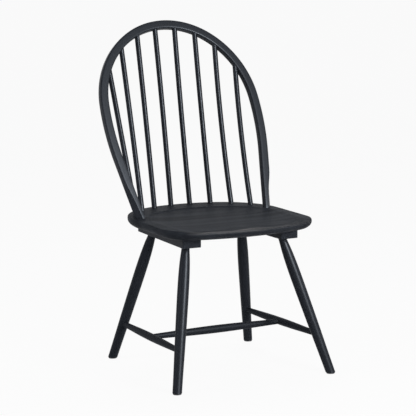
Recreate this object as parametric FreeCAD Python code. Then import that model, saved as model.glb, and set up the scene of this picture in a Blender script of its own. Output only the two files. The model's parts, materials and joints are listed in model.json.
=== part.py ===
import FreeCAD, Part
import math
import os

from FreeCAD import Vector

# Hoop-back windsor side chair, in millimetres.
# The origin is on the floor in the middle of the chair's overall box.
# The chair faces -Y. +X is to the right as seen from the front, and +Z is up.

# Seat: a solid board with a D outline, a dished top and a bevelled underside
SEAT_TOP = 457.0
SEAT_BOTTOM = 423.5
SEAT_HALF_WIDTH = 246.0
SEAT_BACK = 203.1
SEAT_FRONT = -275.4
SEAT_BACK_RADIUS = 360.0
SEAT_BACK_CORNER = 188.0
SEAT_FRONT_RADIUS = 670.0
SEAT_FRONT_CORNER = 78.0
EDGE_ROUND_HEIGHT = 5.0
EDGE_ROUND_SIDE = 4.0
EDGE_ROUND_FRONT = 11.0
EDGE_ROUND_STEPS = 4
BEVEL_TOP = 447.0
BEVEL_WIDTH = 43.0
BEVEL_STEPS = 8

# Dish in the seat's top: the gutter behind it leaves a flat deck for the spindles.
# Each step is how far in from the dish's outline, and how deep the dish is there.
DISH_HALF_WIDTH = 200.0
DISH_BACK = 119.1
DISH_FRONT = -254.9
DISH_BACK_RADIUS = 265.0
DISH_BACK_CORNER = 150.0
DISH_FRONT_CORNER = 70.0
DISH_CORNERS_VANISH = 150.0
DISH_STEPS = ((-2.0, -1.2), (0.0, 0.0), (4.0, 2.4), (14.0, 3.8), (30.0, 5.0), (55.0, 6.1), (90.0, 6.8))

# Hoop: a bent bow in one plane that leans back, straight at the feet and round at the top
HOOP_FOOT_X = 216.4
HOOP_FOOT_Y = 19.7
HOOP_LEAN_BACK = 26.6
HOOP_SPLAY = 9.4
HOOP_STRAIGHT = 185.0
HOOP_SIDE_RADIUS = 782.0
HOOP_SIDE_TURN = 13.3
HOOP_SHOULDER_RADIUS = 270.7
HOOP_SHOULDER_TURN = 52.6
HOOP_WIDTH = 26.5
HOOP_DEPTH = 22.0
HOOP_EDGE_ROUND = 5.0
HOOP_FOOT_DIAMETER = 24.0
HOOP_FOOT_CORNER_SPREAD = 22.0
HOOP_FOOT_TAPER = 110.0
HOOP_TENON_DIAMETER = 18.0
HOOP_TENON_LENGTH = 24.0

# Spindles, from the middle of the chair outwards: foot on the seat, head in the hoop's plane,
# and how far the middle of the spindle is sprung inwards and backwards. A head goes into the
# hoop by HEAD_DEPTH: at full size as far as it is sunk, then along a taper, then as a tenon
SPINDLE_DIAMETER = 15.8
SPINDLE_TENON_DIAMETER = 9.5
SPINDLE_HEAD_DEPTH = 17.0
SPINDLE_HEAD_SUNK = (2.5, 6.0, 2.5, 7.2)
SPINDLE_HEAD_TAPER = 3.0
SPINDLE_FOOT_TENON = 20.0
SPINDLE_FEET = ((32.5, 183.1), (96.8, 168.1), (153.6, 137.1), (196.5, 90.1))
SPINDLE_HEADS = ((33.7, 595.5), (99.1, 574.0), (160.6, 538.2), (216.0, 465.5))
SPINDLE_SPRING = ((1.5, 0.0), (1.2, 0.0), (2.8, 4.0), (2.1, 5.0))

# Battens: two flat bars under the seat, each carrying a front and a back leg
BATTEN_BOTTOM = 399.0
BATTEN_WIDTH = 58.5
BATTEN_PAST_FRONT_LEG = 43.0
BATTEN_PAST_BACK_LEG = 43.5
BATTEN_CHAMFER = 1.5

# Legs: turned, thickest at two thirds of their height, raked and splayed
FRONT_FOOT = (256.0, -294.9)
FRONT_HEAD = (160.3, -163.9)
BACK_FOOT = (238.0, 177.6)
BACK_HEAD = (151.8, 68.8)
LEG_PROFILE = ((0.0, 27.4), (0.12, 28.3), (0.3, 30.8), (0.5, 32.8), (0.68, 33.9),
               (0.79, 33.1), (0.86, 31.2), (0.93, 27.4), (0.985, 23.6), (1.0, 23.5))
LEG_TENON_LENGTH = 15.0
LEG_FOOT_ROUND = 1.0

# Stretchers: turned, swelling in the middle, set like an H
STRETCHER_HEIGHT_FRONT = 115.0
STRETCHER_HEIGHT_BACK = 111.0
STRETCHER_SWELL = 1.25
STRETCHER_STATIONS = (0.0, 0.1, 0.3, 0.5, 0.7, 0.9, 1.0)
SIDE_STRETCHER_DIAMETER = 23.0
SIDE_STRETCHER_END = 16.5
SIDE_STRETCHER_IN_LEG = 13.0
MIDDLE_STRETCHER_DIAMETER = 24.0
MIDDLE_STRETCHER_END = 16.0
MIDDLE_TENON_DIAMETER = 12.0
MIDDLE_TENON_LENGTH = 9.0
MIDDLE_SHOULDER_GAP = 0.4

# Fasteners and glides
GLUE_GAP = 0.1
SOCKET_EXTRA = 1.0
BOLT_SPACING = 110.0
BOLT_DIAMETER = 6.0
BOLT_HEAD_DIAMETER = 11.0
BOLT_HEAD_HEIGHT = 3.2
BOLT_KEY = 4.0
BOLT_KEY_DEPTH = 2.0
BOLT_LENGTH = 30.0
COUNTERBORE_DIAMETER = 14.0
COUNTERBORE_DEPTH = 6.0
WASHER_DIAMETER = 13.0
WASHER_THICKNESS = 1.2
INSERT_DIAMETER = 9.0
INSERT_LENGTH = 13.0
SCREW_DIAMETER = 4.2
SCREW_HEAD_DIAMETER = 8.0
SCREW_LENGTH = 42.0
SCREW_SUNK = 2.0
GLIDE_DIAMETER = 25.0
GLIDE_THICKNESS = 3.0
GLIDE_EDGE_ROUND = 1.0
GLIDE_PIN_DIAMETER = 2.5
GLIDE_PIN_LENGTH = 14.0

LEFT = -1.0
RIGHT = 1.0
SIDE_NAMES = {LEFT: "left", RIGHT: "right"}
LEG_PLACES = (("front", FRONT_FOOT, FRONT_HEAD), ("rear", BACK_FOOT, BACK_HEAD))
UP = Vector(0.0, 0.0, 1.0)
ROOM = 800.0

LEAN = math.radians(HOOP_LEAN_BACK)
HOOP_UP = Vector(0.0, math.sin(LEAN), math.cos(LEAN))
HOOP_BACKWARD = Vector(0.0, math.cos(LEAN), -math.sin(LEAN))


def save(name, shape):
    shape.exportStep("parts/%s.step" % name)
    box = shape.optimalBoundingBox(False)
    print("%-22s %d solid  volume %9.0f  z %6.1f to %6.1f" % (
        name, len(shape.Solids), shape.Volume, box.ZMin, box.ZMax))


def one_solid(shape):
    if len(shape.Solids) != 1:
        raise ValueError("expected one solid, found %d" % len(shape.Solids))
    return shape.Solids[0]


def mirrored(point, side):
    return Vector(side * point.x, point.y, point.z)


def rod(start, end, diameter):
    return Part.makeCylinder(diameter / 2.0, (end - start).Length, start, end - start)


def turned(start, end, profile):
    """A turned piece on a straight axis: profile is (fraction of the length, diameter)."""
    axis = end - start
    length = axis.Length
    along = Vector(axis).normalize()
    across = Vector(0.0, 0.0, 1.0).cross(along).normalize()
    points = [start + along * (length * t) + across * (d / 2.0) for t, d in profile]
    curve = Part.BSplineCurve()
    curve.interpolate(points)
    outline = Part.Wire([
        curve.toShape(),
        Part.LineSegment(points[-1], end).toShape(),
        Part.LineSegment(end, start).toShape(),
        Part.LineSegment(start, points[0]).toShape(),
    ])
    solid = one_solid(Part.Face(outline).revolve(start, along, 360.0))
    if solid.Volume < 0.0:
        solid.reverse()
    return solid


def d_outline(half_width, back, front, back_radius, back_corner, front_radius, front_corner, z):
    """Closed D outline of arcs and straight sides, all tangent to each other."""
    back_x = half_width - back_corner
    back_turn = math.asin(back_x / (back_radius - back_corner))
    back_y = back - back_radius + (back_radius - back_corner) * math.cos(back_turn)
    front_x = half_width - front_corner
    front_turn = math.asin(front_x / (front_radius - front_corner))
    front_y = front + front_radius - (front_radius - front_corner) * math.cos(front_turn)

    def on_arc(x, y, radius, turn):
        return Vector(x + radius * math.sin(turn), y + radius * math.cos(turn), z)

    half_pi = math.pi / 2.0
    start = on_arc(back_x, back_y, back_corner, back_turn)
    middle = on_arc(back_x, back_y, back_corner, (back_turn + half_pi) / 2.0)
    side_back = on_arc(back_x, back_y, back_corner, half_pi)
    side_front = on_arc(front_x, front_y, front_corner, half_pi)
    front_middle = on_arc(front_x, front_y, front_corner, (half_pi + math.pi - front_turn) / 2.0)
    front_end = on_arc(front_x, front_y, front_corner, math.pi - front_turn)
    flip = lambda point: mirrored(point, -1.0)
    return Part.Wire([
        Part.Arc(flip(start), Vector(0.0, back, z), start).toShape(),
        Part.Arc(start, middle, side_back).toShape(),
        Part.LineSegment(side_back, side_front).toShape(),
        Part.Arc(side_front, front_middle, front_end).toShape(),
        Part.Arc(front_end, Vector(0.0, front, z), flip(front_end)).toShape(),
        Part.Arc(flip(front_end), flip(front_middle), flip(side_front)).toShape(),
        Part.LineSegment(flip(side_front), flip(side_back)).toShape(),
        Part.Arc(flip(side_back), flip(middle), flip(start)).toShape(),
    ])


def seat_ring(inset, front_inset, z):
    return d_outline(
        SEAT_HALF_WIDTH - inset, SEAT_BACK - inset, SEAT_FRONT + front_inset,
        SEAT_BACK_RADIUS - inset, SEAT_BACK_CORNER - inset,
        SEAT_FRONT_RADIUS - front_inset, SEAT_FRONT_CORNER - front_inset, z)


def seat_blank():
    rings = []
    for step in range(BEVEL_STEPS, -1, -1):
        turn = math.radians(90.0 * step / BEVEL_STEPS)
        inset = BEVEL_WIDTH * (1.0 - math.cos(turn))
        z = BEVEL_TOP - (BEVEL_TOP - SEAT_BOTTOM) * math.sin(turn)
        rings.append(seat_ring(inset, inset, z))
    for step in range(EDGE_ROUND_STEPS + 1):
        turn = math.radians(90.0 * step / EDGE_ROUND_STEPS)
        shrink = 1.0 - math.cos(turn)
        z = SEAT_TOP - EDGE_ROUND_HEIGHT * (1.0 - math.sin(turn))
        rings.append(seat_ring(EDGE_ROUND_SIDE * shrink, EDGE_ROUND_FRONT * shrink, z))
    return one_solid(Part.makeLoft(rings, True, True))


def dish():
    rings = []
    for inset, depth in DISH_STEPS:
        shrink = 1.0 - inset / DISH_CORNERS_VANISH
        rings.append(d_outline(
            DISH_HALF_WIDTH - inset, DISH_BACK - inset, DISH_FRONT + inset,
            DISH_BACK_RADIUS - inset, DISH_BACK_CORNER * shrink,
            SEAT_FRONT_RADIUS - inset, DISH_FRONT_CORNER * shrink, SEAT_TOP - depth))
    return one_solid(Part.makeLoft(rings, True, True))


def hoop_point(x, up):
    return Vector(x, HOOP_FOOT_Y, SEAT_TOP) + HOOP_UP * up


def hoop_half_path():
    """Centreline of the right half: corner points and arc middles, as (x, up the plane)."""
    splay = math.radians(HOOP_SPLAY)
    x = HOOP_FOOT_X + HOOP_STRAIGHT * math.sin(splay)
    up = HOOP_STRAIGHT * math.cos(splay)
    heading = -splay
    arcs = []
    turns = ((HOOP_SIDE_RADIUS, math.radians(HOOP_SIDE_TURN)),
             (HOOP_SHOULDER_RADIUS, math.radians(HOOP_SHOULDER_TURN)))
    for radius, turn in turns:
        centre_x = x - radius * math.cos(heading)
        centre_up = up - radius * math.sin(heading)
        place = lambda angle: (centre_x + radius * math.cos(angle), centre_up + radius * math.sin(angle))
        arcs.append(((x, up), place(heading + turn / 2.0), place(heading + turn)))
        heading += turn
        x, up = place(heading)
    top_radius = x / math.cos(heading)
    apex = up + top_radius * (1.0 - math.sin(heading))
    return arcs, apex


def hoop_section(centre, outward, width, depth, radius):
    """Rounded rectangle across the bow, started at the middle of its outer front corner."""
    half_width, half_depth = width / 2.0, depth / 2.0
    bend = radius * (1.0 - math.sqrt(0.5))
    place = lambda a, b: centre + outward * a + HOOP_BACKWARD * b
    bends = []
    for a, b in ((1, 1), (-1, 1), (-1, -1), (1, -1)):
        on_side = place(a * half_width, b * (half_depth - radius))
        on_face = place(a * (half_width - radius), b * half_depth)
        middle = place(a * (half_width - bend), b * (half_depth - bend))
        bends.append((on_side, middle, on_face) if a * b > 0 else (on_face, middle, on_side))
    edges = []
    for i, (first, middle, last) in enumerate(bends):
        edges.append(Part.Arc(first, middle, last).toShape())
        edges.append(Part.LineSegment(last, bends[(i + 1) % 4][0]).toShape())
    return Part.Wire(edges)


def foot_section(centre, outward, diameter, spread):
    """Circle cut into eight arcs that pair with the edges of the bow's rounded rectangle."""
    place = lambda angle: (centre + outward * (diameter / 2.0 * math.cos(angle))
                           + HOOP_BACKWARD * (diameter / 2.0 * math.sin(angle)))
    angles = []
    for quarter in range(5):
        middle = math.radians(45.0 + 90.0 * quarter)
        angles += [middle - spread, middle + spread]
    edges = []
    for a, b in list(zip(angles, angles[1:]))[:8]:
        edges.append(Part.Arc(place(a), place((a + b) / 2.0), place(b)).toShape())
    return Part.Wire(edges)


def foot_axis(side):
    splay = math.radians(HOOP_SPLAY)
    return (Vector(side, 0.0, 0.0) * math.sin(splay) + HOOP_UP * math.cos(splay)).normalize()


def hoop_blank():
    arcs, apex = hoop_half_path()
    splay = math.radians(HOOP_SPLAY)
    taper_end = (HOOP_FOOT_X + HOOP_FOOT_TAPER * math.sin(splay), HOOP_FOOT_TAPER * math.cos(splay))
    right = [Part.LineSegment(hoop_point(*taper_end), hoop_point(*arcs[0][0])).toShape()]
    left = [Part.LineSegment(hoop_point(-arcs[0][0][0], arcs[0][0][1]),
                             hoop_point(-taper_end[0], taper_end[1])).toShape()]
    for first, middle, last in arcs:
        right.append(Part.Arc(hoop_point(*first), hoop_point(*middle), hoop_point(*last)).toShape())
        left.insert(0, Part.Arc(hoop_point(-last[0], last[1]), hoop_point(-middle[0], middle[1]),
                                hoop_point(-first[0], first[1])).toShape())
    end = arcs[-1][2]
    top = Part.Arc(hoop_point(*end), hoop_point(0.0, apex), hoop_point(-end[0], end[1])).toShape()
    sweep = Part.BRepOffsetAPI.MakePipeShell(Part.Wire(right + [top] + left))
    sweep.setBiNormalMode(HOOP_BACKWARD)
    outward = Vector(math.cos(splay), 0.0, 0.0) - HOOP_UP * math.sin(splay)
    section = hoop_section(hoop_point(*taper_end), outward, HOOP_WIDTH, HOOP_DEPTH, HOOP_EDGE_ROUND)
    sweep.add(section)
    sweep.build()
    sweep.makeSolid()
    bow = sweep.shape()
    above_seat = Part.makeBox(ROOM, ROOM, ROOM, Vector(-ROOM / 2.0, -ROOM / 2.0, SEAT_TOP))
    for side in (LEFT, RIGHT):
        axis = foot_axis(side)
        outward = Vector(side * math.cos(splay), 0.0, 0.0) - HOOP_UP * math.sin(splay)
        foot = hoop_point(side * HOOP_FOOT_X, 0.0)
        start = foot - axis * HOOP_FOOT_DIAMETER
        wide = foot + axis * HOOP_FOOT_TAPER
        shank = Part.makeLoft([
            foot_section(start, outward, HOOP_FOOT_DIAMETER, math.radians(HOOP_FOOT_CORNER_SPREAD)),
            hoop_section(wide, outward, HOOP_WIDTH, HOOP_DEPTH, HOOP_EDGE_ROUND),
        ], True, True)
        bow = bow.fuse(shank.common(above_seat))
        bow = bow.fuse(rod(foot - axis * HOOP_TENON_LENGTH, foot + axis * HOOP_FOOT_DIAMETER,
                           HOOP_TENON_DIAMETER))
    return one_solid(bow.removeSplitter())


def spindle_path(index, side):
    """Foot, sprung middle and head of a spindle, with the arc through them."""
    foot_x, foot_y = SPINDLE_FEET[index]
    head_x, head_up = SPINDLE_HEADS[index]
    inwards, backwards = SPINDLE_SPRING[index]
    foot = Vector(side * foot_x, foot_y, SEAT_TOP)
    head = hoop_point(side * head_x, head_up)
    middle = (foot + head) * 0.5 + Vector(-side * inwards, backwards, 0.0)
    return foot, middle, head


def spindle(index, side, grow=0.0, extra=0.0):
    foot, middle, head = spindle_path(index, side)
    edge = Part.Arc(foot, middle, head).toShape()
    leave = edge.tangentAt(edge.FirstParameter)
    arrive = edge.tangentAt(edge.LastParameter)
    radius = SPINDLE_DIAMETER / 2.0 + grow
    tenon_radius = SPINDLE_TENON_DIAMETER / 2.0 + grow
    bend = edge.Curve.Center
    turn_axis = (foot - bend).cross(head - bend).normalize()
    turn = math.degrees((foot - bend).getAngle(head - bend))
    disc = Part.Face(Part.Wire(Part.makeCircle(radius, foot, leave)))
    body = disc.revolve(bend, turn_axis, turn)
    tenon = Part.makeCylinder(radius, SPINDLE_FOOT_TENON + extra,
                              foot - leave * (SPINDLE_FOOT_TENON + extra), leave)
    sunk = SPINDLE_HEAD_SUNK[index]
    neck = Part.makeCylinder(radius, sunk, head, arrive)
    cone = Part.makeCone(radius, tenon_radius, SPINDLE_HEAD_TAPER, head + arrive * sunk, arrive)
    taper_end = sunk + SPINDLE_HEAD_TAPER
    head_tenon = Part.makeCylinder(tenon_radius, SPINDLE_HEAD_DEPTH - taper_end + extra,
                                   head + arrive * taper_end, arrive)
    return one_solid(body.fuse([tenon, neck, cone, head_tenon]))


def leg_ends(foot, head, side):
    return Vector(side * foot[0], foot[1], 0.0), Vector(side * head[0], head[1], BATTEN_BOTTOM)


def leg_diameter(fraction):
    for (t0, d0), (t1, d1) in zip(LEG_PROFILE, LEG_PROFILE[1:]):
        if t0 <= fraction <= t1:
            return d0 + (d1 - d0) * (fraction - t0) / (t1 - t0)
    return LEG_PROFILE[-1][1]


def leg_axis_at(foot, head, side, z):
    low, high = leg_ends(foot, head, side)
    return low + (high - low) * (z / BATTEN_BOTTOM)


def leg_blank(foot, head, side):
    low, high = leg_ends(foot, head, side)
    along = Vector(high - low).normalize()
    end_diameter = LEG_PROFILE[-1][1]
    body = turned(low, high, LEG_PROFILE)
    below = rod(low - along * LEG_PROFILE[0][1], low, LEG_PROFILE[0][1])
    tenon = rod(high, high + along * LEG_TENON_LENGTH, end_diameter)
    under = Part.makeBox(ROOM, ROOM, ROOM, Vector(-ROOM / 2.0, -ROOM / 2.0, GLIDE_THICKNESS - ROOM))
    return one_solid(body.fuse([below, tenon]).removeSplitter().cut(under))


def side_stretcher_axis(side):
    front = leg_axis_at(FRONT_FOOT, FRONT_HEAD, side, STRETCHER_HEIGHT_FRONT)
    back = leg_axis_at(BACK_FOOT, BACK_HEAD, side, STRETCHER_HEIGHT_BACK)
    return front, back


def side_stretcher_stations(side):
    """Points along a side stretcher: tenon end and body end, at the front leg and at the back leg."""
    front, back = side_stretcher_axis(side)
    along = Vector(back - front).normalize()
    leg_radius = leg_diameter(STRETCHER_HEIGHT_FRONT / BATTEN_BOTTOM) / 2.0
    sunk = leg_radius - SIDE_STRETCHER_IN_LEG
    clear = leg_radius + SOCKET_EXTRA
    return front + along * sunk, front + along * clear, back - along * clear, back - along * sunk


def swelling(end, middle):
    """Diameters of a stretcher that swells from its ends to its middle."""
    swell = lambda t: math.sin(math.pi * t) ** STRETCHER_SWELL
    return [(t, end + (middle - end) * swell(t)) for t in STRETCHER_STATIONS]


def side_stretcher(side):
    front_end, body_start, body_end, back_end = side_stretcher_stations(side)
    end = SIDE_STRETCHER_END
    body = turned(body_start, body_end, swelling(end, SIDE_STRETCHER_DIAMETER))
    blank = body.fuse([rod(front_end, body_start, end), rod(body_end, back_end, end)])
    return one_solid(blank.cut(middle_tenon_socket(side)))


def side_stretcher_sockets(side):
    front_end, body_start, body_end, back_end = side_stretcher_stations(side)
    along = Vector(back_end - front_end).normalize()
    deeper = along * SOCKET_EXTRA
    outer = along * (SIDE_STRETCHER_IN_LEG / 2.0)
    bore = SIDE_STRETCHER_END + 2.0 * GLUE_GAP
    return [rod(front_end - deeper, body_start + outer, bore), rod(body_end - outer, back_end + deeper, bore)]


def middle_stretcher_end(side):
    front, back = side_stretcher_axis(side)
    return (front + back) * 0.5


def middle_stretcher():
    left, right = middle_stretcher_end(LEFT), middle_stretcher_end(RIGHT)
    along = Vector(right - left).normalize()
    shoulder = SIDE_STRETCHER_DIAMETER / 2.0 + MIDDLE_SHOULDER_GAP
    start = left + along * shoulder
    end = right - along * shoulder
    body = turned(start, end, swelling(MIDDLE_STRETCHER_END, MIDDLE_STRETCHER_DIAMETER))
    tenons = rod(start - along * MIDDLE_TENON_LENGTH, end + along * MIDDLE_TENON_LENGTH,
                 MIDDLE_TENON_DIAMETER)
    return one_solid(body.fuse(tenons))


def middle_tenon_socket(side):
    centre = middle_stretcher_end(side)
    inwards = Vector(-side, 0.0, 0.0)
    reach = SIDE_STRETCHER_DIAMETER / 2.0
    bottom = centre + inwards * (reach - MIDDLE_TENON_LENGTH - SOCKET_EXTRA)
    return rod(bottom, centre + inwards * (2.0 * reach), MIDDLE_TENON_DIAMETER + 2.0 * GLUE_GAP)


def batten_frame(side):
    """Middle of a batten's underside, its direction to the back and its length."""
    front = Vector(side * FRONT_HEAD[0], FRONT_HEAD[1], BATTEN_BOTTOM)
    back = Vector(side * BACK_HEAD[0], BACK_HEAD[1], BATTEN_BOTTOM)
    along = Vector(back - front).normalize()
    first = front - along * BATTEN_PAST_FRONT_LEG
    last = back + along * BATTEN_PAST_BACK_LEG
    return first, along, (last - first).Length


def bolt_places(side):
    first, along, length = batten_frame(side)
    middle = first + along * (length / 2.0)
    return [middle - along * (BOLT_SPACING / 2.0), middle + along * (BOLT_SPACING / 2.0)]


def batten_blank(side):
    first, along, length = batten_frame(side)
    across = along.cross(UP).normalize()
    corner = first - across * (BATTEN_WIDTH / 2.0)
    points = [corner, corner + across * BATTEN_WIDTH,
              corner + across * BATTEN_WIDTH + along * length, corner + along * length]
    face = Part.Face(Part.makePolygon(points + [points[0]]))
    bar = face.extrude(UP * (SEAT_BOTTOM - BATTEN_BOTTOM))
    against_seat = lambda edge: edge.BoundBox.ZMin > SEAT_BOTTOM - BATTEN_CHAMFER
    exposed = [edge for edge in bar.Edges if not against_seat(edge)]
    return one_solid(bar.makeChamfer(BATTEN_CHAMFER, exposed))


def bolt(place):
    under_head = BATTEN_BOTTOM + COUNTERBORE_DEPTH - WASHER_THICKNESS
    base = Vector(place.x, place.y, under_head)
    face = base - UP * BOLT_HEAD_HEIGHT
    head = Part.makeCylinder(BOLT_HEAD_DIAMETER / 2.0, BOLT_HEAD_HEIGHT, face, UP)
    shank = Part.makeCylinder(BOLT_DIAMETER / 2.0, BOLT_LENGTH, base, UP)
    key_radius = BOLT_KEY / math.sqrt(3.0)
    corners = [face + Vector(key_radius * math.cos(math.radians(60.0 * i)),
                             key_radius * math.sin(math.radians(60.0 * i)), 0.0) for i in range(7)]
    key = Part.Face(Part.makePolygon(corners)).extrude(UP * BOLT_KEY_DEPTH)
    return one_solid(head.fuse(shank).cut(key).removeSplitter())


def washer(place):
    base = Vector(place.x, place.y, BATTEN_BOTTOM + COUNTERBORE_DEPTH - WASHER_THICKNESS)
    disc = Part.makeCylinder(WASHER_DIAMETER / 2.0, WASHER_THICKNESS, base, UP)
    hole = Part.makeCylinder(BOLT_DIAMETER / 2.0 + GLUE_GAP, WASHER_THICKNESS, base, UP)
    return one_solid(disc.cut(hole))


def insert(place):
    base = Vector(place.x, place.y, SEAT_BOTTOM)
    sleeve = Part.makeCylinder(INSERT_DIAMETER / 2.0, INSERT_LENGTH, base, UP)
    bore = Part.makeCylinder(BOLT_DIAMETER / 2.0 + GLUE_GAP, INSERT_LENGTH, base, UP)
    return one_solid(sleeve.cut(bore))


def screw_axis(side):
    """Head and tip of the screw that runs up through the seat into a hoop foot."""
    axis = foot_axis(side)
    foot = hoop_point(side * HOOP_FOOT_X, 0.0)
    head = foot - axis * ((SEAT_TOP - SEAT_BOTTOM - SCREW_SUNK) / axis.z)
    return head, axis


def hoop_screw(side, grow=0.0, extra=0.0):
    head, axis = screw_axis(side)
    neck = (SCREW_HEAD_DIAMETER - SCREW_DIAMETER) / 2.0
    head_radius = SCREW_HEAD_DIAMETER / 2.0 + grow
    shank_radius = SCREW_DIAMETER / 2.0 + grow
    cone = Part.makeCone(head_radius, shank_radius, neck, head, axis)
    shank = Part.makeCylinder(shank_radius, SCREW_LENGTH - neck + extra, head + axis * neck, axis)
    return one_solid(cone.fuse(shank))


def glide(foot, head, side):
    low, high = leg_ends(foot, head, side)
    along = Vector(high - low).normalize()
    top = leg_axis_at(foot, head, side, GLIDE_THICKNESS)
    disc = Part.makeCylinder(GLIDE_DIAMETER / 2.0, GLIDE_THICKNESS, top - UP * GLIDE_THICKNESS, UP)
    rim = [edge for edge in disc.Edges if edge.BoundBox.ZMax < GLIDE_THICKNESS / 2.0]
    disc = disc.makeFillet(GLIDE_EDGE_ROUND, rim)
    pin = rod(top - along * (GLIDE_THICKNESS / 2.0), top + along * GLIDE_PIN_LENGTH, GLIDE_PIN_DIAMETER)
    return one_solid(disc.fuse(pin))


def glide_pin_hole(foot, head, side):
    low, high = leg_ends(foot, head, side)
    along = Vector(high - low).normalize()
    top = leg_axis_at(foot, head, side, GLIDE_THICKNESS)
    return rod(top - along * GLIDE_DIAMETER, top + along * (GLIDE_PIN_LENGTH + SOCKET_EXTRA),
               GLIDE_PIN_DIAMETER + 2.0 * GLUE_GAP)


def build_seat():
    seat = seat_blank().cut(dish())
    holes = []
    for side in (LEFT, RIGHT):
        axis = foot_axis(side)
        foot = hoop_point(side * HOOP_FOOT_X, 0.0)
        deep = axis * (HOOP_TENON_LENGTH + SOCKET_EXTRA)
        bore = HOOP_TENON_DIAMETER + 2.0 * GLUE_GAP
        holes.append(rod(foot - deep, foot + axis * bore, bore))
        screw_head, screw_line = screw_axis(side)
        holes.append(hoop_screw(side, GLUE_GAP))
        holes.append(rod(screw_head - screw_line * SCREW_HEAD_DIAMETER, screw_head,
                         SCREW_HEAD_DIAMETER + 2.0 * GLUE_GAP))
        for index in range(len(SPINDLE_FEET)):
            foot, middle, head = spindle_path(index, side)
            edge = Part.Arc(foot, middle, head).toShape()
            leave = edge.tangentAt(edge.FirstParameter)
            deep = leave * (SPINDLE_FOOT_TENON + SOCKET_EXTRA)
            bore = SPINDLE_DIAMETER + 2.0 * GLUE_GAP
            holes.append(rod(foot - deep, foot + leave * bore, bore))
        for place in bolt_places(side):
            base = Vector(place.x, place.y, SEAT_BOTTOM - SOCKET_EXTRA)
            holes.append(Part.makeCylinder(INSERT_DIAMETER / 2.0 + GLUE_GAP,
                                           INSERT_LENGTH + 2.0 * SOCKET_EXTRA, base, UP))
    return one_solid(seat.cut(holes))


def build_hoop():
    hoop = hoop_blank()
    holes = []
    for side in (LEFT, RIGHT):
        holes.append(hoop_screw(side, GLUE_GAP, SOCKET_EXTRA))
        for index in range(len(SPINDLE_FEET)):
            holes.append(spindle(index, side, GLUE_GAP, SOCKET_EXTRA))
    return one_solid(hoop.cut(holes))


def build_batten(side):
    bar = batten_blank(side)
    holes = []
    for place_name, foot, head in LEG_PLACES:
        low, high = leg_ends(foot, head, side)
        along = Vector(high - low).normalize()
        holes.append(rod(high - along * LEG_TENON_LENGTH, high + along * (LEG_TENON_LENGTH + SOCKET_EXTRA),
                         LEG_PROFILE[-1][1] + 2.0 * GLUE_GAP))
    for place in bolt_places(side):
        above = place + UP * (2.0 * (SEAT_BOTTOM - BATTEN_BOTTOM))
        sunk = place + UP * COUNTERBORE_DEPTH
        holes.append(rod(place - UP * COUNTERBORE_DEPTH, sunk, COUNTERBORE_DIAMETER))
        holes.append(rod(place, above, BOLT_DIAMETER + 4.0 * GLUE_GAP))
    return one_solid(bar.cut(holes))


def build_leg(foot, head, side):
    blank = leg_blank(foot, head, side)
    leg = one_solid(blank.cut(side_stretcher_sockets(side) + [glide_pin_hole(foot, head, side)]))
    underside = [edge for edge in leg.Edges if edge.BoundBox.ZMax < GLIDE_THICKNESS + GLUE_GAP]
    rim = max(underside, key=lambda edge: edge.Length)
    return one_solid(leg.makeFillet(LEG_FOOT_ROUND, [rim]))


os.makedirs("parts", exist_ok=True)

save("seat", build_seat())
save("hoop", build_hoop())

outer_to_inner = list(range(len(SPINDLE_FEET) - 1, -1, -1))
left_to_right = [(index, LEFT) for index in outer_to_inner]
left_to_right += [(index, RIGHT) for index in reversed(outer_to_inner)]
for number, (index, side) in enumerate(left_to_right, 1):
    save("spindle_%d" % number, spindle(index, side))

for side, side_name in SIDE_NAMES.items():
    save("batten_" + side_name, build_batten(side))
    for place_name, foot, head in LEG_PLACES:
        save("leg_%s_%s" % (place_name, side_name), build_leg(foot, head, side))
    save("side_stretcher_" + side_name, side_stretcher(side))
save("middle_stretcher", middle_stretcher())

places = bolt_places(LEFT) + bolt_places(RIGHT)
legs = [(foot, head, side) for place_name, foot, head in LEG_PLACES for side in (LEFT, RIGHT)]
save("batten_bolts", Part.makeCompound([bolt(place) for place in places]))
save("bolt_washers", Part.makeCompound([washer(place) for place in places]))
save("threaded_inserts", Part.makeCompound([insert(place) for place in places]))
save("hoop_screws", Part.makeCompound([hoop_screw(LEFT), hoop_screw(RIGHT)]))
save("foot_glides", Part.makeCompound([glide(*leg) for leg in legs]))
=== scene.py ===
# %% [markdown]
# A windsor side chair in satin black paint.
# The imported model holds every piece at its real size. This lesson dresses it: it puts the camera
# where the photograph was taken, lights a pale studio, and then remodels the two pieces whose
# soft, hand-shaped surfaces show the most, the seat and the bow. The other pieces keep their
# solids and get a painted finish. The first cell loads the fixed frame.

# %% Load the frame
import json
import math

import bpy
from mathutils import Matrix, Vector

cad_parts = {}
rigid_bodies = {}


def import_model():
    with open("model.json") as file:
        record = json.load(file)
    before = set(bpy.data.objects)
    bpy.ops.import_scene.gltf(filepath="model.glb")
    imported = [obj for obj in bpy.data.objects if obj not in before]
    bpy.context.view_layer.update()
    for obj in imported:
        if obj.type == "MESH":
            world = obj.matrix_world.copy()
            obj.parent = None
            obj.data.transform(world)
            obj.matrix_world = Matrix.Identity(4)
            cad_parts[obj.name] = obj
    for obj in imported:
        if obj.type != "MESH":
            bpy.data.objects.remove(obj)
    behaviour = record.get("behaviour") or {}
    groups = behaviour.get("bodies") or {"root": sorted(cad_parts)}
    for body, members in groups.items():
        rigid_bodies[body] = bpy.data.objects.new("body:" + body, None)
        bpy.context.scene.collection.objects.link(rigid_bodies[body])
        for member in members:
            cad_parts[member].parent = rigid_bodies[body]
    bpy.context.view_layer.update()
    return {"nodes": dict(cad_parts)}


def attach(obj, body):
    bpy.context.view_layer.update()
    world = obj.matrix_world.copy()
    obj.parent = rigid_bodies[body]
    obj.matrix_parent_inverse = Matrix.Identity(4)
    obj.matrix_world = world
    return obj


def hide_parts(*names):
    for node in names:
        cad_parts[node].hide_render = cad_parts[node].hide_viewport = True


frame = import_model()
nodes = frame["nodes"]
MM = 0.001


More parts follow.
